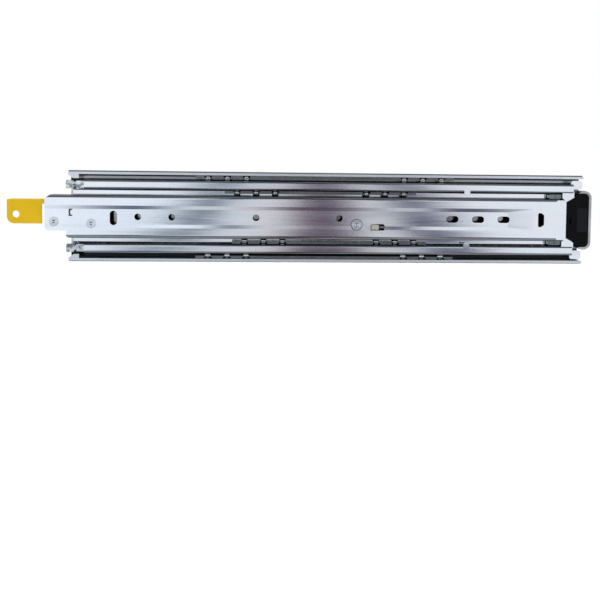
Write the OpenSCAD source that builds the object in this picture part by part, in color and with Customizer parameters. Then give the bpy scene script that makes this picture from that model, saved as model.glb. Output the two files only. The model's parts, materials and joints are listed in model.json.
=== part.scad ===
// Full-extension locking drawer slide, three telescoping steel members on ball races.
// +X runs from the front of the cabinet to its back, +Y into the cabinet wall, +Z up.
// The origin is the centre of the face that is screwed to the cabinet.

/* [Overall size] */
// Length of the cabinet member
slide_l = 435; // [430:1:440]
// Height across the two ball race bulges
slide_h = 76.2; // [76:0.1:76.6]
// Thickness from the cabinet face to the drawer face
slide_t = 19.1; // [19:0.1:19.4]
// Thickness of the rolled steel sheet
sheet_t = 2; // [1.9:0.05:2]

/* [Ball races] */
// Diameter of one bearing ball
ball_d = 6.35; // [6.2:0.05:6.35]
// Gap between a ball and the race it rolls in
race_gap = 0.125; // [0.1:0.005:0.15]
// Distance between neighbouring balls
ball_pitch = 16; // [14:0.5:17]
// Thickness of the ball retainer strips
retainer_t = 0.8; // [0.6:0.1:0.9]

/* [Holes] */
// Diameter of the round screw holes
screw_hole_d = 5.6; // [5:0.1:6]
// Width of the elongated screw holes
slot_w = 5.6; // [5:0.1:6]
// Length of the elongated screw holes
slot_l = 10.6; // [9:0.1:12]

/* [Lock lever] */
// Length of the finger plate that stands out in front
finger_l = 28.4; // [24:0.2:30]
// Diameter of the hole for a connecting rod
rod_hole_d = 5.9; // [4:0.1:7]
// Diameter of the rivet shank that the lever turns on
pivot_d = 5; // [4.6:0.1:5.4]
// Diameter of the shanks of the guide rivet and the pawl rivet
guide_d = 4; // [3.6:0.1:4.2]

/* [Hidden] */
$fn = 64;

// Races: every ball centre lies at the same depth, and a race spans race_angle to each side of it.
race_angle = 41;
race_r = ball_d / 2 + race_gap;
sheet_r = race_r + sheet_t / 2;
shoulder_drop = sheet_r * cos(race_angle);
ball_y = -10;
outer_ball_z = slide_h / 2 - sheet_t - race_r;
inner_ball_z = outer_ball_z - 12.6;
cabinet_shoulder_z = outer_ball_z + shoulder_drop;
band_outer_z = outer_ball_z - shoulder_drop;
band_inner_z = inner_ball_z + shoulder_drop;
drawer_shoulder_z = inner_ball_z - shoulder_drop;
bend_r = 2;
band_bend_r = 1.2;
arc_steps = 8;

// Depths of the three webs, as centre lines of the sheet.
cabinet_web_y = -sheet_t / 2;
middle_web_y = -3.6 - sheet_t / 2;
band_y = -14.5 - sheet_t / 2;
drawer_web_y = -slide_t + sheet_t / 2;
lip_y = -15.2;
band_leg_end_y = -5.6;
drawer_flange_end_y = -6.9;
middle_web_front_y = middle_web_y - sheet_t / 2;
face_y = -slide_t;
face_back_y = face_y + sheet_t;

// Ends of the members along X.
front_x = -slide_l / 2;
rear_x = slide_l / 2;
middle_front_x = front_x + 2.5;
band_front_x = front_x + 13.2;
band_rear_x = rear_x - 8.6;
horn_rear_x = rear_x - 7.8;
drawer_front_x = front_x - 18.7;
drawer_step_x = front_x - 1.5;
drawer_rear_x = rear_x - 15.5;

// Holes along the centre line, measured from the middle of the cabinet member.
grid = 32;
cabinet_round_x = [152.5, -121, -121 - 2 * grid];
cabinet_slot_x = [205.4, 152.5 + grid, 152.5 - grid];
drawer_round_x = [-160, -132, -62, 8];
drawer_slot_x = [104, 126, 148];
tall_slot_x = -180;
tall_slot_h = 12;
rear_slot_x = 180.4;
rear_slot_size = [5.2, 12];
tab_press = 1.1;
trough_depth = 0.4;
trough_half = 6.3;
trough_side_run = 3;
trough_rear_x = 152;
trough_rear_run = 22;

// Lock lever, turning about pivot on the drawer member.
pivot = [-228.7, -4.3];
guide = [-198.3, -5.8];
lever_y = -14.6;
lever_t = 2;
lever_top_z = 13.9;
lever_gap_x = drawer_front_x - 2.6;
finger_front_x = lever_gap_x - finger_l;
finger_bottom_z = -6.3;
rod_hole = [finger_front_x + 7.3, 1.4];
release_drop = 3.4;
latch_x = -191.5;
slit = [-215.8, 3.3];
rivet_head_d = 8;
spring_wire_r = 0.5;
rivet_fit = 0.1;

// Link from the lever to the lock-out pawl.
link_z = -9.4;
link_front_x = -190;
link_rear_x = 8;
link_w = 4.4;
link_y = -12.6;
link_t = 1.6;
pin_r = 1.3;
pin_hole_r = 1.8;
eye_r = 2.7;
pawl_play = 1.6;
pawl_pivot = [22.6, -5.2];
pawl_t = 1.8;
pawl_recess_d = 10.4;
window_x = [34.3, 46.4];
window_z = [-9.9, -4.5];
window_mid_z = (window_z[0] + window_z[1]) / 2;

// Retainers: where each strip lies when the slide is closed.
outer_strip_x = [-112.7, 105.6];
upper_inner_strip_x = [-88.5, 73.5];
lower_inner_strip_x = [-82.1, 82.6];
balls_per_end = 3;
strip_end = 10.4;

// Rear bumper and its bracket.
bumper_nose_x = [drawer_rear_x + 0.3, horn_rear_x + 0.6];
bumper_rear_x = rear_x + 4.6;
bumper_half_h = 22.9;
nose_half_h = [13.8, 18];
nose_slope_l = 6.2;
nose_gap = 0.7;
bracket_t = 2.2;
bracket_rear_x = bumper_rear_x + bracket_t;
bracket_half_h = bumper_half_h + bracket_t;
bracket_corner_r = 6.2;

// ---------- sheet profiles, drawn as [y, z] centre lines ----------

function arc(centre, r, from, to) =
    [for (i = [0 : arc_steps])
        let (a = from + (to - from) * i / arc_steps)
        centre + r * [cos(a), sin(a)]];

function side(a, b) = let (d = (b - a) / norm(b - a)) [-d[1], d[0]];

function mitre(path, i) =
    let (
        last = len(path) - 1,
        before = side(path[max(i - 1, 0)], path[max(i, 1)]),
        after = side(path[min(i, last - 1)], path[min(i + 1, last)])
    )
    (before + after) / (1 + before * after);

function sheet_outline(path) = concat(
    [for (i = [0 : len(path) - 1]) path[i] + mitre(path, i) * sheet_t / 2],
    [for (i = [len(path) - 1 : -1 : 0]) path[i] - mitre(path, i) * sheet_t / 2]
);

function both_sides(half) = concat(
    [for (i = [len(half) - 1 : -1 : 0]) [half[i][0], -half[i][1]]],
    half
);

function outward_race(ball_z) = arc([ball_y, ball_z], sheet_r, 90 - race_angle, 90 + race_angle);
function inward_race(ball_z) = arc([ball_y, ball_z], sheet_r, 270 - race_angle, 270 + race_angle);

cabinet_path = both_sides(concat(
    arc([cabinet_web_y - bend_r, cabinet_shoulder_z - bend_r], bend_r, 0, 90),
    outward_race(outer_ball_z),
    [[lip_y, cabinet_shoulder_z]]
));

middle_web_path = arc([middle_web_y - bend_r, band_inner_z - bend_r], bend_r, 0, 90);

band_path = concat(
    outward_race(inner_ball_z),
    arc([band_y + band_bend_r, band_inner_z + band_bend_r], band_bend_r, 270, 180),
    arc([band_y + band_bend_r, band_outer_z - band_bend_r], band_bend_r, 180, 90),
    inward_race(outer_ball_z),
    [[band_leg_end_y, band_outer_z]]
);

drawer_path = both_sides(concat(
    arc([drawer_web_y + bend_r, drawer_shoulder_z - bend_r], bend_r, 180, 90),
    inward_race(inner_ball_z),
    [[drawer_flange_end_y, drawer_shoulder_z]]
));

// ---------- helpers ----------

// Extrudes a [y, z] outline along X between two stations.
module along_x(from, to) {
    translate([from, 0, 0])
        rotate([90, 0, 90])
            linear_extrude(to - from)
                children();
}

// Extrudes an [x, z] outline along Y between two depths.
module along_y(from, to) {
    translate([0, to, 0])
        rotate([90, 0, 0])
            linear_extrude(to - from)
                children();
}

module drill(at, d, from, to) {
    along_y(from, to) translate(at) circle(d = d);
}

module obround(length, width) {
    square([length - width, width], center = true);
    for (end = [-1, 1])
        translate([end * (length - width) / 2, 0]) circle(d = width);
}

module rounded_box(size, r) {
    square([size[0] - 2 * r, size[1]], center = true);
    square([size[0], size[1] - 2 * r], center = true);
    for (sx = [-1, 1])
        for (sz = [-1, 1])
            translate([sx * (size[0] / 2 - r), sz * (size[1] / 2 - r)]) circle(r = r);
}

// Straight round wire between two points.
module wire(a, b, r) {
    run = b - a;
    translate(a)
        rotate([0, acos(run[2] / norm(run)), atan2(run[1], run[0])])
            cylinder(h = norm(run), r = r);
}

module mirrored_z() {
    children();
    mirror([0, 0, 1]) children();
}

// ---------- cabinet member ----------

// Tabs half sheared out of the web, pointed to the rear.
arrow_tip_x = [59, 4.5];
arrow_l = 30;
arrow_top_z = 5.3;
arrow_h = 15;
arrow_tilt = 5.5;

module arrow_outline(tip_x) {
    polygon([
        [tip_x, arrow_top_z],
        [tip_x - arrow_l, arrow_top_z],
        [tip_x - arrow_l, arrow_top_z - arrow_h]
    ]);
}

module arrow_tab(tip_x) {
    slope = atan2(arrow_h, arrow_l);
    translate([tip_x, 0, arrow_top_z])
        rotate([0, -slope, 0])
            rotate([arrow_tilt, 0, 0])
                rotate([0, slope, 0])
                    translate([-tip_x, 0, -arrow_top_z])
                        along_y(-sheet_t, 0) arrow_outline(tip_x);
}

// The catch for the lock lever: straight above, rounded towards the front.
catch_x = [-213.7, -193.7];
catch_z = [-5.5, 8.9];

module catch_outline() {
    r = catch_z[1] - catch_z[0];
    intersection() {
        translate([catch_x[0], catch_z[0]]) square([catch_x[1] - catch_x[0], r]);
        translate([catch_x[0] + r, catch_z[1]]) union() {
            circle(r = r);
            translate([0, -r]) square([r, r]);
        }
    }
}

// Shallow round marks on the cabinet face.
weld_mark = [157.5, 29.5];

// The front end of each lip is folded inwards and stops the ball retainer.
module lip_fold() {
    along_y(lip_y, lip_y + sheet_t)
        polygon([
            [front_x, cabinet_shoulder_z + sheet_t / 2],
            [front_x + 8.7, cabinet_shoulder_z + sheet_t / 2],
            [front_x + 8.7, band_outer_z + 2],
            [front_x + 4.4, band_outer_z + 2],
            [front_x, cabinet_shoulder_z - 1.4]
        ]);
}

module cabinet_member() {
    color("gainsboro") {
        difference() {
            union() {
                along_x(front_x, rear_x) polygon(sheet_outline(cabinet_path));
                mirrored_z() lip_fold();
                along_y(-sheet_t - tab_press, -sheet_t) catch_outline();
            }
            for (x = cabinet_round_x) drill([x, 0], screw_hole_d, -sheet_t - 1, 1);
            for (x = cabinet_slot_x)
                along_y(-sheet_t - 1, 1) translate([x, 0]) obround(slot_l, slot_w);
            for (tip = arrow_tip_x)
                along_y(-sheet_t - 1, 1) arrow_outline(tip);
            along_y(-tab_press, 1) catch_outline();
            mirrored_z() drill(weld_mark, 2.4, -0.6, 1);
        }
        for (tip = arrow_tip_x) arrow_tab(tip);
    }
}

// ---------- intermediate member ----------

front_notch_x = -187;
front_notch_half = 13;
rear_notch_x = drawer_rear_x - 0.6;

// Outline of the bumper's nose between two stations, wider towards the rear; gap is added all round.
module nose_outline(from, to, gap) {
    half = concat(
        [[from, nose_half_h[0] + gap]],
        [[from + nose_slope_l, nose_half_h[1] + gap]],
        [[to, nose_half_h[1] + gap]]
    );
    polygon(concat(half, [for (i = [2 : -1 : 0]) [half[i][0], -half[i][1]]]));
}

// Rear ends of the two inner races, folded in front of the web beside the bumper's nose.
horn_fold_y = band_y - sheet_t / 2 + 0.7;

module horn_fold() {
    along_y(horn_fold_y, horn_fold_y + sheet_t)
        polygon([
            [drawer_rear_x - 2.5, band_inner_z + 0.6],
            [horn_rear_x, band_inner_z + 0.6],
            [horn_rear_x, nose_half_h[1] + 1.3],
            [bumper_nose_x[0] + 1, nose_half_h[0] + 1.8],
            [drawer_rear_x - 2.5, nose_half_h[0] + 5]
        ]);
}

// Lugs pressed out of the inner edge of each band.
band_lug_size = [5, 4.6];
band_lug_at = [116.8, band_inner_z - 0.2];

module band_lug() {
    along_y(band_y - sheet_t / 2 - 0.4, band_y + sheet_t / 2 - 0.3)
        translate(band_lug_at) rounded_box(band_lug_size, 0.7);
}

// Bent ends of the outer legs, which stop the outer retainers.
rear_lug_size = [9.8, 7.4];
rear_lug_at = [rear_x - 5.5, band_outer_z + 0.4];
rear_lug_y = lip_y + 0.7;

module rear_lug() {
    along_y(rear_lug_y, rear_lug_y + sheet_t)
        translate(rear_lug_at) rounded_box(rear_lug_size, 2);
}

module intermediate_member() {
    color("silver")
        difference() {
            union() {
                along_x(middle_front_x, horn_rear_x)
                    polygon(sheet_outline(both_sides(middle_web_path)));
                mirrored_z() {
                    along_x(band_front_x, band_rear_x)
                        polygon(sheet_outline(concat(middle_web_path, band_path)));
                    rear_lug();
                    horn_fold();
                    band_lug();
                }
            }
            along_y(-12, 0)
                translate([middle_front_x - 1, -front_notch_half])
                    square([front_notch_x - middle_front_x + 1, 2 * front_notch_half]);
            along_y(-12, 0) nose_outline(rear_notch_x, rear_x, nose_gap);
        }
}

// Stops plugged into the front ends of the two bands: head, neck, body and tail from the front.
stop_head = [6.6, 7];
stop_neck = [2.4, 4];
stop_body = [7, 6];
stop_tail = [14, 1.4];
stop_back_y = band_y + 4.4;
stop_x = front_x - 2;
band_mid_z = (band_inner_z + band_outer_z) / 2;

// A block of the stop, from its front end at x and from depth y to depth back.
module stop_block(x, size, y, back) {
    along_y(y, back) translate([x, band_mid_z - size[1] / 2]) square(size);
}

module front_stop() {
    neck_x = stop_x + stop_head[0] - 0.1;
    body_x = neck_x + stop_neck[0] - 0.7;
    tail_x = body_x + stop_body[0] - 0.2;
    along_y(band_y + 0.4, stop_back_y)
        translate([stop_x + stop_head[0] / 2, band_mid_z]) rounded_box(stop_head, 1.4);
    stop_block(neck_x, stop_neck, band_y + 1.8, stop_back_y);
    stop_block(body_x, stop_body, band_y + 1.6, stop_back_y + 0.6);
    stop_block(tail_x, stop_tail, band_y + sheet_t / 2, stop_back_y - 0.4);
}

module front_stops() {
    color("lightgray") mirrored_z() front_stop();
}

// ---------- drawer member ----------

tongue_bottom_z = -11.9;
flare_x = drawer_rear_x - 6.6;
relief_x = drawer_rear_x - 17.5;
relief_w = 3.9;

module drawer_outline() {
    top = drawer_shoulder_z + 2;
    corner = 3;
    difference() {
        polygon([
            [drawer_front_x, 14.6],
            [drawer_front_x + 5.6, top],
            [drawer_rear_x, top],
            [drawer_rear_x, -top],
            [drawer_step_x, -top],
            [drawer_step_x, tongue_bottom_z],
            [drawer_front_x, tongue_bottom_z]
        ]);
        corner_cut([drawer_front_x, tongue_bottom_z], corner);
        corner_cut([drawer_step_x, -drawer_shoulder_z - sheet_t / 2], corner);
    }
}

// Rounds a lower front corner: what lies outside a quarter circle.
module corner_cut(at, r) {
    translate(at)
        difference() {
            translate([-1, -2]) square([r + 1, r + 2]);
            translate([r, r]) circle(r = r);
            translate([r, -3]) square(r + 3);
        }
}

// Shallow pressed strip along the middle of the face. Its sides and its rear end fade into the face.
module trough() {
    floor_y = face_y + trough_depth;
    rear_end_x = trough_rear_x + trough_rear_run;
    half = trough_half + trough_side_run;
    intersection() {
        along_x(drawer_front_x - 1, rear_end_x)
            polygon([
                [face_y - 1, -half],
                [face_y - 1, half],
                [face_y, half],
                [floor_y, trough_half],
                [floor_y, -trough_half],
                [face_y, -half]
            ]);
        translate([0, 0, -half])
            linear_extrude(2 * half)
                polygon([
                    [drawer_front_x - 1, floor_y],
                    [trough_rear_x, floor_y],
                    [rear_end_x, face_y],
                    [rear_end_x, face_y - 1],
                    [drawer_front_x - 1, face_y - 1]
                ]);
    }
}

module window_outline() {
    c = 1.2;
    polygon([
        [window_x[0] + c, window_z[1]],
        [window_x[1] - c, window_z[1]],
        [window_x[1], window_z[1] - c],
        [window_x[1] - 0.6, window_z[0]],
        [window_x[0], window_z[0]],
        [window_x[0], window_z[1] - c]
    ]);
}

module rear_slot_outline() {
    w = rear_slot_size[0] / 2;
    h = rear_slot_size[1] / 2;
    translate([rear_slot_x, 0])
        polygon([
            [-w, h - 0.8], [-w + 0.8, h], [0, h], [w, h - 1.8],
            [w, -h + 1.8], [0, -h], [-w + 0.8, -h], [-w, -h + 0.8]
        ]);
}

// Lanced slit: upright, with a short leg at each end. A small hole in it takes the spring's leg.
slit_floor_y = face_back_y - 0.4;
module slit_outline() {
    slit_h = 6;
    slit_w = 1.5;
    translate([slit[0] - slit_w / 2, slit[1] - slit_h / 2]) {
        square([slit_w, slit_h]);
        for (z = [0, slit_h - 1.1])
            translate([0, z]) square([slit_w + 1.5, 1.1]);
    }
}

// A hole through the drawer face with the outline given as a child.
module through_face() {
    along_y(face_y - 1, face_back_y + 1) children();
}

module drawer_member() {
    color("whitesmoke")
        difference() {
            union() {
                intersection() {
                    along_x(drawer_front_x - 1, flare_x) polygon(sheet_outline(drawer_path));
                    along_y(face_y - 1, 0) drawer_outline();
                }
                along_y(face_y, face_back_y)
                    translate([(flare_x + drawer_rear_x) / 2 - 1, 0])
                        rounded_box([drawer_rear_x - flare_x + 2, 2 * drawer_shoulder_z], 2);
            }
            trough();
            through_face() {
                for (x = drawer_round_x)
                    translate([x, 0]) circle(d = screw_hole_d);
                for (x = drawer_slot_x)
                    translate([x, 0]) obround(slot_l, slot_w);
                translate([tall_slot_x, -1]) rotate(90) obround(tall_slot_h, slot_w + 0.4);
                translate(pivot) circle(d = pivot_d + rivet_fit);
                translate(guide) circle(d = guide_d + rivet_fit);
                translate(pawl_pivot) circle(d = guide_d + rivet_fit);
                translate(slit) circle(r = spring_wire_r + rivet_fit / 2);
                rear_slot_outline();
                window_outline();
            }
            along_y(face_y - 1, slit_floor_y) slit_outline();
            mirrored_z()
                along_y(face_back_y, 0)
                    translate([relief_x, drawer_shoulder_z - 2]) square([relief_w, 6]);
            for (at = [pivot, guide])
                drill(at, rivet_head_d + rivet_fit, face_y - 1, face_y + trough_depth);
            drill(pawl_pivot, pawl_recess_d, face_y - 1, face_y + 1);
        }
}

// Stops at the rear of the drawer member, which hold the inner retainers back.
drawer_stop_size = [10.6, 3.8];
drawer_stop_y = [-13.4, -7.2];
drawer_stop_at = [
    drawer_rear_x - 8.3,
    drawer_shoulder_z + sheet_t / 2 + drawer_stop_size[1] / 2
];

module drawer_stops() {
    color("dimgray")
        mirrored_z()
            difference() {
                along_y(drawer_stop_y[0], drawer_stop_y[1])
                    translate(drawer_stop_at) rounded_box(drawer_stop_size, 0.9);
                drill(drawer_stop_at, 1.8, drawer_stop_y[0] - 1, drawer_stop_y[0] + 0.8);
            }
}

// ---------- ball retainers ----------

function ball_stations(strip) = concat(
    [for (i = [0 : balls_per_end - 1]) strip[0] + strip_end + i * ball_pitch],
    [for (i = [0 : balls_per_end - 1]) strip[1] - strip_end - i * ball_pitch]
);

// An angle strip: the flat leg holds the balls, the front leg has a gap before each ball.
retainer_y = [-14.4, -6];
retainer_leg_h = 2.4;
ball_clearance = 0.08;

module retainer(strip, ball_z) {
    length = strip[1] - strip[0];
    color("darkgray")
        difference() {
            translate([strip[0], retainer_y[0], ball_z - retainer_t / 2]) {
                cube([length, retainer_y[1] - retainer_y[0], retainer_t]);
                cube([length, retainer_t, retainer_leg_h]);
            }
            for (x = ball_stations(strip)) {
                translate([x, ball_y, ball_z - 1]) cylinder(r = ball_d / 2 + ball_clearance, h = 2);
                translate([x - ball_d / 2, retainer_y[0] - 1, ball_z + retainer_t / 2])
                    cube([ball_d, retainer_t + 2, retainer_leg_h]);
            }
        }
}

module balls(strip, ball_z) {
    color("white")
        for (x = ball_stations(strip))
            translate([x, ball_y, ball_z]) sphere(d = ball_d);
}

module upper_outer_retainer() retainer(outer_strip_x, outer_ball_z);
module lower_outer_retainer() mirror([0, 0, 1]) retainer(outer_strip_x, outer_ball_z);
module upper_inner_retainer() retainer(upper_inner_strip_x, inner_ball_z);
module lower_inner_retainer() mirror([0, 0, 1]) retainer(lower_inner_strip_x, inner_ball_z);
module upper_outer_balls() balls(outer_strip_x, outer_ball_z);
module lower_outer_balls() balls(outer_strip_x, -outer_ball_z);
module upper_inner_balls() balls(upper_inner_strip_x, inner_ball_z);
module lower_inner_balls() balls(lower_inner_strip_x, -inner_ball_z);

// ---------- lock lever ----------

module finger_outline() {
    corner = 6;
    difference() {
        translate([finger_front_x, finger_bottom_z])
            square([finger_l, lever_top_z - finger_bottom_z]);
        corner_cut([finger_front_x, finger_bottom_z], corner);
        mirror([0, 1]) corner_cut([finger_front_x, -lever_top_z], 1.5);
    }
}

module lever_outline() {
    finger_outline();
    translate([lever_gap_x - 1, lever_top_z - 3.8]) square([pivot[0] + 2.6 - lever_gap_x, 3.8]);
    translate([lever_gap_x + 3.2, pivot[1]]) square([4, lever_top_z - pivot[1]]);
    translate(pivot) circle(r = 5.4);
    polygon([
        [pivot[0], pivot[1] + 4],
        [guide[0] - 7, guide[1] + 4.4],
        [guide[0] + 5, guide[1] + 4.4],
        [latch_x + 4.4, guide[1] + 3.2],
        [latch_x + 4.4, link_z - eye_r + 0.2],
        [guide[0] + 2, link_z - eye_r + 0.2],
        [guide[0] - 7, guide[1] - 5],
        [pivot[0], pivot[1] - 5]
    ]);
}

module lock_lever() {
    color("goldenrod")
        difference() {
            union() {
                along_y(lever_y - lever_t, lever_y) lever_outline();
                // Top flange, bent back towards the cabinet side
                translate([finger_front_x + 1.5, lever_y - 0.5, lever_top_z - lever_t])
                    cube([pivot[0] + 1.6 - finger_front_x - 1.5, 11, lever_t]);
                // Latch nose behind the catch on the cabinet member
                along_y(lever_y - 0.5, -sheet_t - tab_press - 0.5)
                    translate([latch_x, guide[1] + 0.2]) square([2.4, 3.2]);
            }
            drill(rod_hole, rod_hole_d, lever_y - 3, lever_y + 1);
            drill(pivot, pivot_d + 0.1, lever_y - 3, lever_y + 1);
            drill([link_front_x + 0.3, link_z], 2 * pin_hole_r, lever_y - 3, lever_y + 1);
            along_y(lever_y - 3, lever_y + 1)
                translate([guide[0], guide[1] + release_drop / 2 - 0.5])
                    rotate(90) obround(release_drop + guide_d + 1.2, guide_d + 0.6);
        }
}

// Turned rivet with a low dimpled head on the face and a clenched head inside.
dimple_d = 3.2;

// Conical hollow of diameter d where it meets the depth y.
module dimple(at, d, y, depth) {
    translate([at[0], y, at[1]])
        rotate([-90, 0, 0])
            cylinder(h = depth, d1 = d, d2 = d / 4);
}

module face_rivet(at, shank_d, inner_head) {
    color("lightgray")
        difference() {
            union() {
                drill(at, shank_d, face_y + rivet_fit, inner_head);
                drill(at, rivet_head_d, face_y + rivet_fit / 2, face_y + trough_depth);
                drill(at, rivet_head_d, inner_head - 1, inner_head);
            }
            dimple(at, dimple_d, face_y, 0.5);
        }
}

module lever_pivot_rivet() face_rivet(pivot, pivot_d, -9.4);
module lever_guide_rivet() face_rivet(guide, guide_d, -13.4);

// Torsion spring on the pivot rivet: three turns and two legs.
module lever_spring() {
    wire_r = spring_wire_r;
    coil_r = 3.3;
    leg_y = [-13.7, -11.5];
    color("slategray") {
        translate([pivot[0], 0, pivot[1]])
            for (turn = [0 : 2])
                translate([0, leg_y[0] + turn * 1.1, 0])
                    rotate([90, 0, 0])
                        rotate_extrude() translate([coil_r, 0]) circle(r = wire_r + 0.05);
        wire([pivot[0], leg_y[0], pivot[1] + coil_r], [slit[0], leg_y[0], slit[1]], wire_r);
        wire([slit[0], leg_y[0] + wire_r, slit[1]], [slit[0], slit_floor_y, slit[1]], wire_r);
        wire([pivot[0], leg_y[1], pivot[1] - coil_r], [slit[0] + 4, leg_y[1], link_z - 3], wire_r);
    }
}

// ---------- link and lock-out pawl ----------

module link_bar() {
    color("silver")
        along_y(link_y - link_t, link_y)
            translate([(link_front_x + link_rear_x) / 2, link_z])
                obround(link_rear_x - link_front_x + link_w, link_w);
}

module link_pins() {
    color("lightgray")
        for (x = [link_front_x, link_rear_x])
            drill([x, link_z], 2 * pin_r, lever_y - lever_t, link_y - link_t);
}

module lockout_pawl() {
    color("darkgray")
        difference() {
            union() {
                along_y(lever_y - pawl_t, lever_y) {
                    polygon([
                        [link_rear_x, link_z + eye_r],
                        [pawl_pivot[0], pawl_pivot[1] + 4.5],
                        [pawl_pivot[0] + 13, pawl_pivot[1] + 3],
                        [pawl_pivot[0] + 18, pawl_pivot[1] - 1],
                        [pawl_pivot[0] + 18, pawl_pivot[1] - 4.4],
                        [pawl_pivot[0], pawl_pivot[1] - 4.5],
                        [link_rear_x, link_z - eye_r]
                    ]);
                    translate([link_rear_x - pawl_play / 2, link_z])
                        obround(2 * eye_r + pawl_play, 2 * eye_r);
                    translate(pawl_pivot) circle(r = 4.8);
                }
                along_y(lever_y - 0.5, middle_web_front_y - 0.6)
                    translate([pawl_pivot[0] + 9, pawl_pivot[1] - 3]) square([2.4, 5]);
            }
            drill(pawl_pivot, guide_d + 0.1, lever_y - 3, lever_y + 1);
            along_y(lever_y - 3, lever_y + 1)
                translate([link_rear_x - pawl_play / 2, link_z])
                    obround(2 * pin_hole_r + pawl_play, 2 * pin_hole_r);
        }
}

pawl_head_d = 8.6;
pawl_ring_d = [5.2, 6.2];

module pawl_rivet() {
    color("lightgray")
        difference() {
            union() {
                drill(pawl_pivot, pawl_head_d, face_y + rivet_fit, face_y + 1);
                drill(pawl_pivot, guide_d, face_y + 0.5, link_y);
                drill(pawl_pivot, pawl_head_d - 1.6, link_y - 1, link_y);
            }
            dimple(pawl_pivot, dimple_d, face_y, 0.6);
            along_y(face_y - 1, face_y + 0.4)
                translate(pawl_pivot)
                    difference() {
                        circle(d = pawl_ring_d[1]);
                        circle(d = pawl_ring_d[0]);
                    }
        }
}

// Compression spring lying along X in the window.
module pawl_spring() {
    wire_r = 0.4;
    coil_r = 1.75;
    turns = 5;
    pitch = 0.85;
    color("slategray")
        for (turn = [0 : turns - 1])
            translate([window_x[0] + 7.7 + turn * pitch, face_y + 2.9, window_mid_z])
                rotate([0, 90, 0])
                    rotate_extrude() translate([coil_r, 0]) circle(r = wire_r + 0.03);
}

module spring_block() {
    color("tan")
        along_y(face_y + 0.6, face_back_y + 0.2)
            translate([window_x[0] + 4, window_mid_z]) rounded_box([6.4, 4.4], 0.5);
}

// ---------- rear bumper ----------

bumper_face_y = -17.4;
panel_size = [9.6, 20.8];
panel_depth = 0.6;
bumper_slit = [206.3, -1];
bumper_slit_size = [1.6, 5.4];
peg_size = [5, 4.6];

// Rounded block between two stations along X, centred on the middle of the slide.
module block_outline(from, to, half_h, r) {
    translate([(from + to) / 2, 0]) rounded_box([to - from, 2 * half_h], r);
}

module rear_bumper() {
    panel_x = (bumper_nose_x[1] + bumper_rear_x) / 2 + 0.6;
    color([0.12, 0.12, 0.12])
        difference() {
            union() {
                along_y(bumper_face_y, -sheet_t) {
                    nose_outline(bumper_nose_x[0], bumper_rear_x, 0);
                    block_outline(bumper_nose_x[1], bumper_rear_x, bumper_half_h, 4);
                }
                along_y(-sheet_t - 0.5, -0.4)
                    translate([cabinet_slot_x[0] + 1, 0]) rounded_box(peg_size, 1);
            }
            along_y(bumper_face_y - 1, bumper_face_y + panel_depth)
                translate([panel_x, 0]) rounded_box(panel_size, 0.8);
            along_y(bumper_face_y - 1, bumper_face_y + 2.4)
                translate(bumper_slit) rounded_box(bumper_slit_size, 0.5);
        }
}

module bumper_bracket() {
    leg_x = bumper_nose_x[1] + 1.2;
    color("lightgray")
        along_y(bumper_face_y - 0.5, -sheet_t)
            difference() {
                block_outline(leg_x, bracket_rear_x, bracket_half_h, bracket_corner_r);
                block_outline(leg_x - 10, bumper_rear_x, bumper_half_h, 4);
            }
}

cabinet_member();
intermediate_member();
drawer_member();
upper_outer_retainer();
lower_outer_retainer();
upper_inner_retainer();
lower_inner_retainer();
upper_outer_balls();
lower_outer_balls();
upper_inner_balls();
lower_inner_balls();
lock_lever();
lever_pivot_rivet();
lever_guide_rivet();
lever_spring();
link_bar();
link_pins();
lockout_pawl();
pawl_rivet();
pawl_spring();
spring_block();
rear_bumper();
bumper_bracket();
front_stops();
drawer_stops();
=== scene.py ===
"""Looks for a drawer slide: zinc-plated rolled members, a yellow lock lever and a rubber bumper."""
import json
import math

import bmesh
import bpy
from mathutils import Matrix, Vector


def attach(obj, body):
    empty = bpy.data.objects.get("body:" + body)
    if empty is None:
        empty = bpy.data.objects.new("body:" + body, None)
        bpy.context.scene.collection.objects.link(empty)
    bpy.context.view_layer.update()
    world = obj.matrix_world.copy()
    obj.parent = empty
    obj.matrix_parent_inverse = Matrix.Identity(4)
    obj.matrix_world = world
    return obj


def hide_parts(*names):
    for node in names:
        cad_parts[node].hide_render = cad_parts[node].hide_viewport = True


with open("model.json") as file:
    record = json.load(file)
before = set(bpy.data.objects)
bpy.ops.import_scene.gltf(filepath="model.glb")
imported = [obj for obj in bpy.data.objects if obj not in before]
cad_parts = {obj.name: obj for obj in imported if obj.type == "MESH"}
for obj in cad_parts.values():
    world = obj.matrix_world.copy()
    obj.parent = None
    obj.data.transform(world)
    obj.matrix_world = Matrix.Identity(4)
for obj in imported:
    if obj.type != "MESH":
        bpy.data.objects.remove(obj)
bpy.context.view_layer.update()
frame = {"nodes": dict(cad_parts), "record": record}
nodes = frame["nodes"]
record = frame["record"]
body_of = {node: body for body, members in record["behaviour"]["bodies"].items() for node in members}
RACES = ("upper_outer", "lower_outer", "upper_inner", "lower_inner")
MM = 0.001


# ---------- small helpers ----------

def link(obj):
    bpy.context.scene.collection.objects.link(obj)
    return obj


def mesh_object(name, verts, faces):
    mesh = bpy.data.meshes.new(name)
    mesh.from_pydata([tuple(v) for v in verts], [], faces)
    mesh.update()
    return link(bpy.data.objects.new(name, mesh))


def smooth(mesh):
    for polygon in mesh.polygons:
        polygon.use_smooth = True


# ---------- procedural materials ----------

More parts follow.
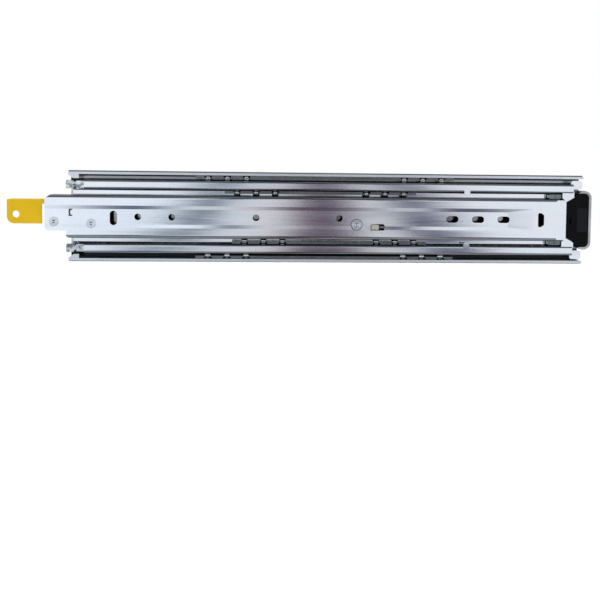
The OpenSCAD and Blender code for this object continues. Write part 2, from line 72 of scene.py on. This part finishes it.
class Tree:
    """A node tree, with one short method for each kind of node used here."""

    def __init__(self, tree):
        self.tree = tree

    def add(self, kind, **settings):
        node = self.tree.nodes.new(kind)
        for key, value in settings.items():
            setattr(node, key, value)
        return node

    def join(self, source, target):
        self.tree.links.new(source, target)

    def coords(self, scale):
        """Object coordinates, stretched by scale along X, Y and Z."""
        where = self.add("ShaderNodeTexCoord")
        stretch = self.add("ShaderNodeMapping")
        stretch.inputs["Scale"].default_value = scale
        self.join(where.outputs["Object"], stretch.inputs["Vector"])
        return stretch.outputs["Vector"]

    def noise(self, scale, detail=3.0, roughness=0.55, stretch=(1, 1, 1), distortion=0.0):
        node = self.add("ShaderNodeTexNoise")
        node.inputs["Scale"].default_value = scale
        node.inputs["Detail"].default_value = detail
        node.inputs["Roughness"].default_value = roughness
        node.inputs["Distortion"].default_value = distortion
        self.join(self.coords(stretch), node.inputs["Vector"])
        return node.outputs["Fac"]

    def voronoi(self, scale, stretch=(1, 1, 1)):
        node = self.add("ShaderNodeTexVoronoi")
        node.inputs["Scale"].default_value = scale
        self.join(self.coords(stretch), node.inputs["Vector"])
        return node.outputs["Color"]

    def ramp(self, factor, *stops):
        """stops are (position, colour) pairs; a colour is one grey value or three numbers."""
        node = self.add("ShaderNodeValToRGB")
        elements = node.color_ramp.elements
        while len(elements) < len(stops):
            elements.new(0.5)
        for element, (position, colour) in zip(elements, stops):
            rgb = (colour,) * 3 if isinstance(colour, (int, float)) else colour
            element.position = position
            element.color = (*rgb, 1)
        self.join(factor, node.inputs["Fac"])
        return node.outputs["Color"]

    def mix(self, factor, first, second, blend="MIX"):
        node = self.add("ShaderNodeMix", data_type="RGBA", blend_type=blend)
        for socket, value in ((0, factor), (6, first), (7, second)):
            if isinstance(value, bpy.types.NodeSocket):
                self.join(value, node.inputs[socket])
            elif socket == 0:
                node.inputs[socket].default_value = value
            else:
                node.inputs[socket].default_value = (*value, 1)
        return node.outputs[2]

    def bump(self, height, strength, distance, below=None):
        node = self.add("ShaderNodeBump")
        node.inputs["Strength"].default_value = strength
        node.inputs["Distance"].default_value = distance
        self.join(height, node.inputs["Height"])
        if below is not None:
            self.join(below, node.inputs["Normal"])
        return node.outputs["Normal"]

    def math(self, operation, first, second=0.0, third=0.0):
        node = self.add("ShaderNodeMath", operation=operation)
        for socket, value in zip(node.inputs, (first, second, third)):
            if isinstance(value, bpy.types.NodeSocket):
                self.join(value, socket)
            else:
                socket.default_value = value
        return node.outputs[0]

    def between(self, value, low, high):
        """0 at low, 1 at high, with a smooth step from one to the other; low may be the larger."""
        node = self.add("ShaderNodeMapRange", interpolation_type="SMOOTHSTEP")
        self.join(value, node.inputs["Value"])
        node.inputs["From Min"].default_value = min(low, high)
        node.inputs["From Max"].default_value = max(low, high)
        node.inputs["To Min"].default_value = 0.0 if low < high else 1.0
        node.inputs["To Max"].default_value = 1.0 if low < high else 0.0
        return node.outputs["Result"]

    def place(self):
        """The X, Y and Z of object coordinates."""
        split = self.add("ShaderNodeSeparateXYZ")
        self.join(self.coords((1, 1, 1)), split.inputs["Vector"])
        return split.outputs


class Skin(Tree):
    """A material's node tree."""

    def __init__(self, name):
        self.material = bpy.data.materials.new(name)
        self.material.use_nodes = True
        super().__init__(self.material.node_tree)

    def surface(self, colour, roughness, normal=None, **constants):
        """Joins the three textures to the shader and sets its constants; returns the material."""
        shader = self.tree.nodes["Principled BSDF"]
        self.join(colour, shader.inputs["Base Color"])
        self.join(roughness, shader.inputs["Roughness"])
        if normal is not None:
            self.join(normal, shader.inputs["Normal"])
        for socket, value in constants.items():
            shader.inputs[socket.replace("_", " ")].default_value = value
        return self.material


# Where object coordinates pass from outside a part of the slide to inside it, in metres. All but the three
# for the bumper's panel mark out painted shade.
DEEP_Y = (-0.0050, -0.0042)              # behind the front of the intermediate member's web, where the painted shade is darkest
TONGUE_X = (-0.212, -0.216)              # the front tongue of the drawer member
TONGUE_FLANGE_Z = (0.0150, 0.0165)       # and its top flange
BEHIND_FACE_Y = (-0.0186, -0.0176)       # the inside of the drawer member
WEB_Z = (0.0185, 0.0165)                 # the intermediate member's web, up and down
WEB_Y = (-0.0075, -0.0065)               # and in depth
CHANNEL_BACK_Y = (-0.0012, -0.0018)      # the inside of the cabinet member, from its web
CHANNEL_LIP_Y = (-0.0146, -0.0136)       # to its lips
CHANNEL_Z = (0.0352, 0.0342)             # between its shoulders
CHANNEL_MIDDLE_Z = (0.0235, 0.0265)      # and outside the middle of its web, which gets no painted shade
TRACK_LOW_Z = (0.0310, 0.0318)           # the strip where the upper balls run: less painted shade there gives a paler line, a painted reflection
TRACK_HIGH_Z = (0.0338, 0.0330)
# how much of the painted shade that strip loses
TRACK_SHADE_EASED = 0.6
PRESSED_Z = (0.0125, 0.0115)             # the pressed tabs and holes in the cabinet member's web
PRESSED_Y = (-0.0001, -0.0016)           # and how the painted shade in their hollows deepens with depth
WEB_INSIDE_Y = (-0.0019, -0.0017)        # up to the web's inner face, which gets none of this painted shade
# how dark the painted shade in those hollows gets
PRESSED_PAINTED_SHADE = 0.6
PANEL_Z = (0.0106, 0.0102)               # the sunk panel of the bumper
PANEL_X = (0.2118, 0.2122)
PANEL_Y = (-0.0172, -0.0169)

# The darkest and the palest tone of painted shade: in narrow gaps, and on the intermediate member's web.
DARK_PAINTED_SHADE = ((0.022, 0.026, 0.028), (0.07, 0.08, 0.085))
PALE_PAINTED_SHADE = ((0.20, 0.20, 0.20), (0.42, 0.42, 0.41))


def zinc_steel(name, pale, deep, gloss, painted_shade_mask, grain=1.0, shade_tones=DARK_PAINTED_SHADE):
    """Rolled, bright zinc-plated steel: drawn grain along X, passivation tints and handling haze.

    Its mask argument takes the Skin and gives a mask of the inner surfaces, where painted shade darkens the
    plating."""
    m = Skin(name)
    tint = m.ramp(m.noise(9, 3, 0.5, (1, 1, 2.2), 0.6), (0.30, deep), (0.52, pale), (0.75, pale))
    blush = m.ramp(m.noise(14, 2, 0.5, (1, 1, 1.6), 1.2), (0.45, 0.0), (0.72, 0.32))
    tinted = m.mix(blush, tint, (0.84, 0.79, 0.80))
    flecks = m.ramp(m.voronoi(900, (0.5, 1, 1)), (0.0, 0.93), (1.0, 1.0))
    plated = m.mix(0.5, tinted, flecks, "MULTIPLY")
    # Painted shade on the inner surfaces: mottled, and darkest behind the front of the intermediate member's
    # web.
    painted_shade = m.ramp(m.noise(60, 3, 0.6, (0.3, 1, 1)), (0.3, shade_tones[0]), (0.7, shade_tones[1]))
    painted_shade = m.mix(m.between(m.place()[1], *DEEP_Y), painted_shade, DARK_PAINTED_SHADE[0])
    plated = m.mix(painted_shade_mask(m), plated, painted_shade)
    streaks = m.noise(160, 4, 0.6, (0.02, 1, 1))
    haze = m.noise(30, 4, 0.6, (0.5, 1, 1.2), 0.4)
    rough = m.ramp(m.mix(0.45, streaks, haze), (0.30, gloss[0]), (0.72, gloss[1]))
    drawn = m.bump(streaks, 0.10 * grain, 0.0002)
    spangle = m.bump(m.noise(420, 3, 0.6), 0.05 * grain, 0.0001, drawn)
    return m.surface(plated, rough, spangle, Metallic=1.0)


def bare_steel(name, colour, roughness=(0.22, 0.42)):
    """Plain pressed or drawn steel with fine pits and a slight coat of oil."""
    m = Skin(name)
    dark = tuple(0.78 * c for c in colour)
    tint = m.ramp(m.noise(120, 4, 0.6, (0.4, 1, 1)), (0.35, dark), (0.65, colour))
    rough = m.ramp(m.noise(260, 4, 0.65), (0.3, roughness[0]), (0.7, roughness[1]))
    relief = m.bump(m.noise(900, 3, 0.6), 0.10, 0.0001)
    return m.surface(tint, rough, relief, Metallic=1.0)


def cast_stop():
    """Die-cast zinc with an uneven, partly stained skin."""
    m = Skin("stop_zinc_cast")
    stain = m.noise(260, 3, 0.6, (1, 1, 1.3), 0.8)
    tint = m.ramp(stain, (0.36, (0.16, 0.18, 0.19)), (0.5, (0.55, 0.57, 0.58)), (0.62, (0.90, 0.92, 0.93)))
    rough = m.ramp(m.noise(500, 3, 0.6), (0.3, 0.18), (0.7, 0.36))
    relief = m.bump(stain, 0.5, 0.0004)
    return m.surface(tint, rough, relief, Metallic=1.0)


def ball_steel():
    m = Skin("ball_steel_polished")
    tint = m.ramp(m.noise(350, 3, 0.5), (0.35, (0.80, 0.81, 0.82)), (0.6, (0.92, 0.92, 0.92)))
    rough = m.ramp(m.noise(700, 3, 0.6), (0.3, 0.05), (0.7, 0.14))
    return m.surface(tint, rough, Metallic=1.0)


def lever_coating():
    """Yellow powder coat: orange peel, with a tone that varies a little at random."""
    m = Skin("lever_coating_yellow")
    tint = m.ramp(
        m.noise(70, 4, 0.55),
        (0.3, (0.60, 0.38, 0.004)),
        (0.55, (0.625, 0.395, 0.006)),
        (0.8, (0.65, 0.42, 0.009)),
    )
    rough = m.ramp(m.noise(500, 3, 0.6), (0.3, 0.30), (0.7, 0.42))
    peel = m.bump(m.noise(1500, 2, 0.5), 0.12, 0.0001)
    return m.surface(tint, rough, peel, Specular_IOR_Level=0.15, Coat_Weight=0.06, Coat_Roughness=0.2)


def rubber():
    """Black moulded rubber, a little paler in the sunk panel of its face."""
    m = Skin("bumper_rubber_black")
    x, y, z = m.place()
    panel = m.math("MULTIPLY", m.between(m.math("ABSOLUTE", z), *PANEL_Z), m.between(x, *PANEL_X))
    skin = m.ramp(m.noise(160, 4, 0.6), (0.3, (0.0016, 0.0017, 0.0025)), (0.7, (0.0032, 0.0033, 0.0045)))
    tint = m.mix(m.math("MULTIPLY", panel, m.between(y, *PANEL_Y)), skin, (0.009, 0.0095, 0.012))
    rough = m.ramp(m.noise(300, 4, 0.6), (0.3, 0.38), (0.7, 0.55))
    texture = m.bump(m.noise(1800, 2, 0.5), 0.25, 0.0001)
    return m.surface(tint, rough, texture, Specular_IOR_Level=0.1)


def nylon():
    m = Skin("spring_block_nylon")
    tint = m.ramp(m.noise(220, 3, 0.5), (0.3, (0.29, 0.30, 0.25)), (0.7, (0.40, 0.41, 0.35)))
    rough = m.ramp(m.noise(500, 3, 0.5), (0.3, 0.45), (0.7, 0.6))
    marks = m.bump(m.noise(900, 2, 0.5, (0.3, 1, 1)), 0.15, 0.0001)
    return m.surface(tint, rough, marks)


def drawer_inside(m):
    """Where painted shade darkens the drawer member: everything behind its face, except the flange of the
    tongue at the front.
    """
    x, y, z = m.place()
    tongue = m.math("MULTIPLY", m.between(x, *TONGUE_X), m.between(z, *TONGUE_FLANGE_Z))
    return m.math("MULTIPLY", m.between(y, *BEHIND_FACE_Y), m.math("SUBTRACT", 1.0, tongue))


def middle_web(m):
    """Where painted shade darkens the intermediate member: its web behind the drawer member."""
    x, y, z = m.place()
    web = m.between(m.math("ABSOLUTE", z), *WEB_Z)
    return m.math("MULTIPLY", web, m.between(y, *WEB_Y))


def channel_floor(m):
    """Where painted shade darkens the cabinet member: its inner edges, eased to a paler strip, a painted
    reflection, where the upper balls run.

    The hollows of its pressed tabs and holes get painted shade, darker the deeper they lie."""
    x, y, z = m.place()
    deep = m.math("MULTIPLY", m.between(y, *CHANNEL_BACK_Y), m.between(y, *CHANNEL_LIP_Y))
    edge = m.math("MULTIPLY", m.between(m.math("ABSOLUTE", z), *CHANNEL_Z), deep)
    inner = m.math("MULTIPLY", edge, m.between(m.math("ABSOLUTE", z), *CHANNEL_MIDDLE_Z))
    track = m.math("MULTIPLY", m.between(z, *TRACK_LOW_Z), m.between(z, *TRACK_HIGH_Z))
    floor_painted_shade = m.math("MULTIPLY", inner, m.math("MULTIPLY_ADD", track, -TRACK_SHADE_EASED, 1.0))
    pressed = m.math("MULTIPLY", m.between(m.math("ABSOLUTE", z), *PRESSED_Z), PRESSED_PAINTED_SHADE)
    outside = m.math("MULTIPLY", pressed, m.between(y, *WEB_INSIDE_Y))
    hollow = m.math("MULTIPLY", outside, m.between(y, *PRESSED_Y))
    return m.math("MAXIMUM", hollow, floor_painted_shade)


# Each member's mask function says where painted shade darkens it.
MEMBER = zinc_steel(
    "drawer_member_zinc",
    pale=(0.86, 0.885, 0.925),
    deep=(0.78, 0.82, 0.875),
    gloss=(0.06, 0.12),
    painted_shade_mask=drawer_inside,
)
MIDDLE = zinc_steel(
    "intermediate_zinc",
    pale=(0.84, 0.87, 0.90),
    deep=(0.70, 0.755, 0.80),
    gloss=(0.06, 0.13),
    painted_shade_mask=middle_web,
    shade_tones=PALE_PAINTED_SHADE,
)
CABINET = zinc_steel(
    "cabinet_member_zinc",
    pale=(0.82, 0.85, 0.875),
    deep=(0.72, 0.765, 0.81),
    gloss=(0.24, 0.40),
    grain=1.4,
    painted_shade_mask=channel_floor,
)
STRIP = bare_steel("retainer_steel_strip", (0.20, 0.22, 0.23), (0.16, 0.30))
RIVET = bare_steel("rivet_zinc", (0.80, 0.83, 0.87), (0.18, 0.28))
LINKAGE = bare_steel("link_steel_strip", (0.60, 0.62, 0.64))
WIRE = bare_steel("spring_wire_steel", (0.30, 0.31, 0.33))
BRACKET = bare_steel("bracket_satin_steel", (0.66, 0.655, 0.64), (0.34, 0.48))
STOP = cast_stop()
REAR_STOP = bare_steel("drawer_stop_steel", (0.22, 0.26, 0.26), (0.20, 0.34))

NODE_MATERIALS = {
    "cabinet_member": CABINET,
    "intermediate_member": MIDDLE,
    "drawer_member": MEMBER,
    **{race + "_retainer": STRIP for race in RACES},
    "lever_pivot_rivet": RIVET,
    "lever_guide_rivet": RIVET,
    "pawl_rivet": RIVET,
    "link_bar": LINKAGE,
    "link_pins": RIVET,
    "lockout_pawl": LINKAGE,
    "lever_spring": WIRE,
    "pawl_spring": WIRE,
    "bumper_bracket": BRACKET,
    "front_stops": STOP,
    "drawer_stops": REAR_STOP,
    "lock_lever": lever_coating(),
    "rear_bumper": rubber(),
    "spring_block": nylon(),
}
BALLS = ball_steel()
NODE_MATERIALS.update({race + "_balls": BALLS for race in RACES})

# Edge radius of each node whose corners are rolled, sheared or moulded, in millimetres.
EDGE_RADIUS = {
    "cabinet_member": 0.25,
    "intermediate_member": 0.25,
    "drawer_member": 0.25,
    "lock_lever": 0.45,
    "rear_bumper": 0.6,
    "bumper_bracket": 0.35,
    "front_stops": 0.5,
    "drawer_stops": 0.4,
    "spring_block": 0.25,
    **{race + "_retainer": 0.12 for race in RACES},
    "lever_pivot_rivet": 0.1,
    "lever_guide_rivet": 0.1,
    "pawl_rivet": 0.2,
    "link_bar": 0.15,
    "lockout_pawl": 0.15,
}


def paint(node, material):
    mesh = nodes[node].data
    if not mesh.materials:
        mesh.materials.append(material)
    for index in range(len(mesh.materials)):
        mesh.materials[index] = material


WELD = 1e-6                      # corners closer than this are one corner
LEVEL = math.radians(0.4)        # facets that turn less than this are one flat face
SHARP = math.radians(15)         # an edge that turns more than this is a real edge
FLAT_WIDTH = 1.15 * MM           # a facet wider than this is a flat face, and a narrower one part of a bend
SHARED = math.cos(math.radians(50))     # facets that turn more than 50 degrees share no shading


def rounded_mesh(source, radius_mm):
    """A mesh like source's with its flat faces merged and its sharp edges rounded."""
    bm = bmesh.new()
    bm.from_mesh(source.data)
    bmesh.ops.remove_doubles(bm, verts=bm.verts, dist=WELD)
    bmesh.ops.dissolve_limit(bm, angle_limit=LEVEL, verts=bm.verts, edges=bm.edges)
    sharp = [e for e in bm.edges if len(e.link_faces) == 2 and e.calc_face_angle(0) > SHARP]
    bmesh.ops.bevel(
        bm, geom=sharp, offset=radius_mm * MM, segments=2, profile=0.5, affect="EDGES", clamp_overlap=True
    )
    mesh = bpy.data.meshes.new(source.name + "_rounded")
    bm.to_mesh(mesh)
    bm.free()
    return mesh


def facet_width(face):
    around = sum(edge.calc_length() for edge in face.edges)
    return 2 * face.calc_area() / around if around else 0.0


def shade_like_cad(mesh):
    """Keeps flat faces flat up to their borders, and blends normals only across bends and rounded edges."""
    bm = bmesh.new()
    bm.from_mesh(mesh)
    bm.faces.ensure_lookup_table()
    flat = [facet_width(face) > FLAT_WIDTH for face in bm.faces]
    normals = []
    for face in bm.faces:
        for loop in face.loops:
            if flat[face.index]:
                normals.append(face.normal.copy())
                continue
            near = [g for g in loop.vert.link_faces if g.normal.dot(face.normal) > SHARED]
            flats = [g for g in near if flat[g.index]]
            if flats:
                normals.append(max(flats, key=lambda g: g.normal.dot(face.normal)).normal.copy())
                continue
            total = Vector((0, 0, 0))
            for g in near:
                total += g.normal * g.calc_area()
            normals.append(total.normalized() if total.length else face.normal.copy())
    bm.free()
    smooth(mesh)
    mesh.normals_split_custom_set(normals)


def refined(node, radius_mm, body):
    """Stands a copy with rounded edges in the place of a CAD node."""
    source = nodes[node]
    mesh = rounded_mesh(source, radius_mm)
    shade_like_cad(mesh)
    mesh.materials.clear()
    mesh.materials.append(NODE_MATERIALS[node])
    piece = link(bpy.data.objects.new(node + "_finished", mesh))
    piece.matrix_world = source.matrix_world
    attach(piece, body)
    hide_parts(node)


for name, material in NODE_MATERIALS.items():
    paint(name, material)
for name, radius in EDGE_RADIUS.items():
    refined(name, radius, body_of[name])
for race in RACES:
    smooth(nodes[race + "_balls"].data)


# ---------- stage, light and camera ----------

def stage_material():
    m = Skin("stage_paper")
    tint = m.ramp(m.noise(3, 3, 0.5), (0.3, 0.93), (0.7, 0.96))
    rough = m.ramp(m.noise(40, 3, 0.5), (0.3, 0.85), (0.7, 0.95))
    return m.surface(tint, rough, Specular_IOR_Level=0.1)


FLOOR_Z = -0.5
FLOOR_HALF = 7.0


def floor():
    h = FLOOR_HALF
    plane = mesh_object(
        "floor", [(-h, -h, FLOOR_Z), (h, -h, FLOOR_Z), (h, h, FLOOR_Z), (-h, h, FLOOR_Z)], [(0, 1, 2, 3)]
    )
    plane.data.materials.append(stage_material())
    plane.visible_glossy = False


def softbox(name, place, size, power, colour=(1, 1, 1)):
    """A rectangular lamp that faces the slide and leaves no mirror image in it."""
    data = bpy.data.lights.new(name, "AREA")
    data.shape = "RECTANGLE"
    data.size, data.size_y = size
    data.energy = power
    data.color = colour
    lamp = link(bpy.data.objects.new(name, data))
    lamp.visible_glossy = False
    lamp.location = place
    lamp.rotation_euler = (-Vector(place)).to_track_quat("-Z", "Y").to_euler()


def daylight(strength, spread):
    """Soft light from straight above, which keeps the floor white; spread is in degrees."""
    data = bpy.data.lights.new("daylight", "SUN")
    data.energy = strength
    data.angle = math.radians(spread)
    link(bpy.data.objects.new("daylight", data)).visible_glossy = False


CAMERA_DISTANCE = 0.86
CAMERA_AZIMUTH = -3.9
CAMERA_ELEVATION = 3.5
CAMERA_ROLL = 0.7
CAMERA_AIM = (0, -0.012, 0)
SENSOR_WIDTH = 36
PICTURE_WIDTH = 0.508518    # how much of the plane through the aim the picture spans, in metres
SLIDE_MIDDLE_X = 0.0491     # how far the slide's middle stands right of the picture's centre, of the width
SLIDE_MIDDLE_Z = 0.1368     # and how far above it

# What the flat faces mirror on the camera's side: pairs of (bearing in degrees from -Y towards +X, colour).
SKYLINE = (
    (-30.0, (0.86, 0.91, 0.96)),
    (-6.2, (0.98, 1.04, 1.12)),
    (-3.8, (0.045, 0.085, 0.14)),
    (-3.2, (0.045, 0.085, 0.14)),
    (-1.8, (0.76, 0.80, 0.86)),
    (1.0, (0.74, 0.72, 0.74)),
    (2.6, (0.105, 0.065, 0.105)),
    (4.5, (0.095, 0.065, 0.11)),
    (6.2, (0.78, 0.78, 0.80)),
    (7.4, (0.66, 0.68, 0.71)),
    (8.5, (0.04, 0.04, 0.10)),
    (9.6, (0.04, 0.045, 0.11)),
    (12.0, (0.90, 0.94, 0.99)),
    (30.0, (0.88, 0.92, 0.96)),
)
SKYLINE_SPAN = 30.0

# How the skyline is shaded between straight down, -1, and straight up, 1.
DOME = (
    (-1.0, 0.42),
    (-0.86, 0.30),
    (-0.68, 0.07),
    (-0.52, (0.20, 0.22, 0.235)),
    (-0.33, 0.88),
    (0.0, 1.0),
    (0.33, 0.88),
    (0.52, (0.20, 0.22, 0.235)),
    (0.74, 0.04),
    (0.88, 0.12),
    (1.0, 0.26),
)
FAN_CENTRE = 3.6       # the bearing that the others open out from
FAN = 0.12             # how much they open out for each degree below the horizon
FAN_LIMIT = 3.0        # degrees above and below the horizon where this ends


def pale_world():
    world = bpy.data.worlds.new("pale_studio")
    bpy.context.scene.world = world
    world.use_nodes = True
    w = Tree(world.node_tree)
    background = w.tree.nodes["Background"]
    split = w.add("ShaderNodeSeparateXYZ")
    w.join(w.add("ShaderNodeTexCoord").outputs["Generated"], split.inputs["Vector"])
    x, y, z = split.outputs
    bearing = w.math("DEGREES", w.math("ARCTAN2", x, w.math("MULTIPLY", y, -1.0)))
    above = w.math("ADD", w.math("DEGREES", z), CAMERA_ELEVATION)
    height = w.math("MINIMUM", w.math("MAXIMUM", above, -FAN_LIMIT), FAN_LIMIT)
    aside = w.math("SUBTRACT", bearing, FAN_CENTRE)
    fanned = w.math("MULTIPLY_ADD", aside, w.math("MULTIPLY_ADD", height, FAN, 1.0), FAN_CENTRE)
    along = w.math("MULTIPLY_ADD", fanned, 0.5 / SKYLINE_SPAN, 0.5)
    sides = w.ramp(along, *(((b / SKYLINE_SPAN + 1) / 2, colour) for b, colour in SKYLINE))
    steep = w.math("MULTIPLY_ADD", z, 0.5, 0.5)
    shade = w.ramp(steep, *(((level + 1) / 2, colour) for level, colour in DOME))
    seen = w.mix(1.0, sides, shade, "MULTIPLY")
    rays = w.add("ShaderNodeLightPath")
    w.join(w.mix(rays.outputs["Is Camera Ray"], seen, (1, 1, 1)), background.inputs["Color"])


def camera():
    data = bpy.data.cameras.new("camera")
    eye = link(bpy.data.objects.new("camera", data))
    azimuth, elevation = math.radians(CAMERA_AZIMUTH), math.radians(CAMERA_ELEVATION)
    back = Vector((
        math.sin(azimuth) * math.cos(elevation), -math.cos(azimuth) * math.cos(elevation), math.sin(elevation)
    ))
    eye.location = Vector(CAMERA_AIM) + back * CAMERA_DISTANCE
    eye.rotation_mode = "QUATERNION"
    roll = Matrix.Rotation(math.radians(CAMERA_ROLL), 4, "Z").to_quaternion()
    eye.rotation_quaternion = (-back).to_track_quat("-Z", "Y") @ roll
    data.sensor_width = SENSOR_WIDTH
    data.lens = SENSOR_WIDTH * CAMERA_DISTANCE / PICTURE_WIDTH
    data.shift_x = -SLIDE_MIDDLE_X
    data.shift_y = -SLIDE_MIDDLE_Z
    data.clip_start = 0.01
    bpy.context.scene.camera = eye


floor()
pale_world()
softbox("key", place=(-0.4, -1.3, 1.3), size=(1.4, 0.8), power=14, colour=(0.98, 0.99, 1.0))
softbox("rear", place=(0.2, 1.4, 1.0), size=(1.4, 1.0), power=10)
daylight(strength=2.8, spread=25)
camera()
bpy.context.scene.view_settings.view_transform = "Standard"
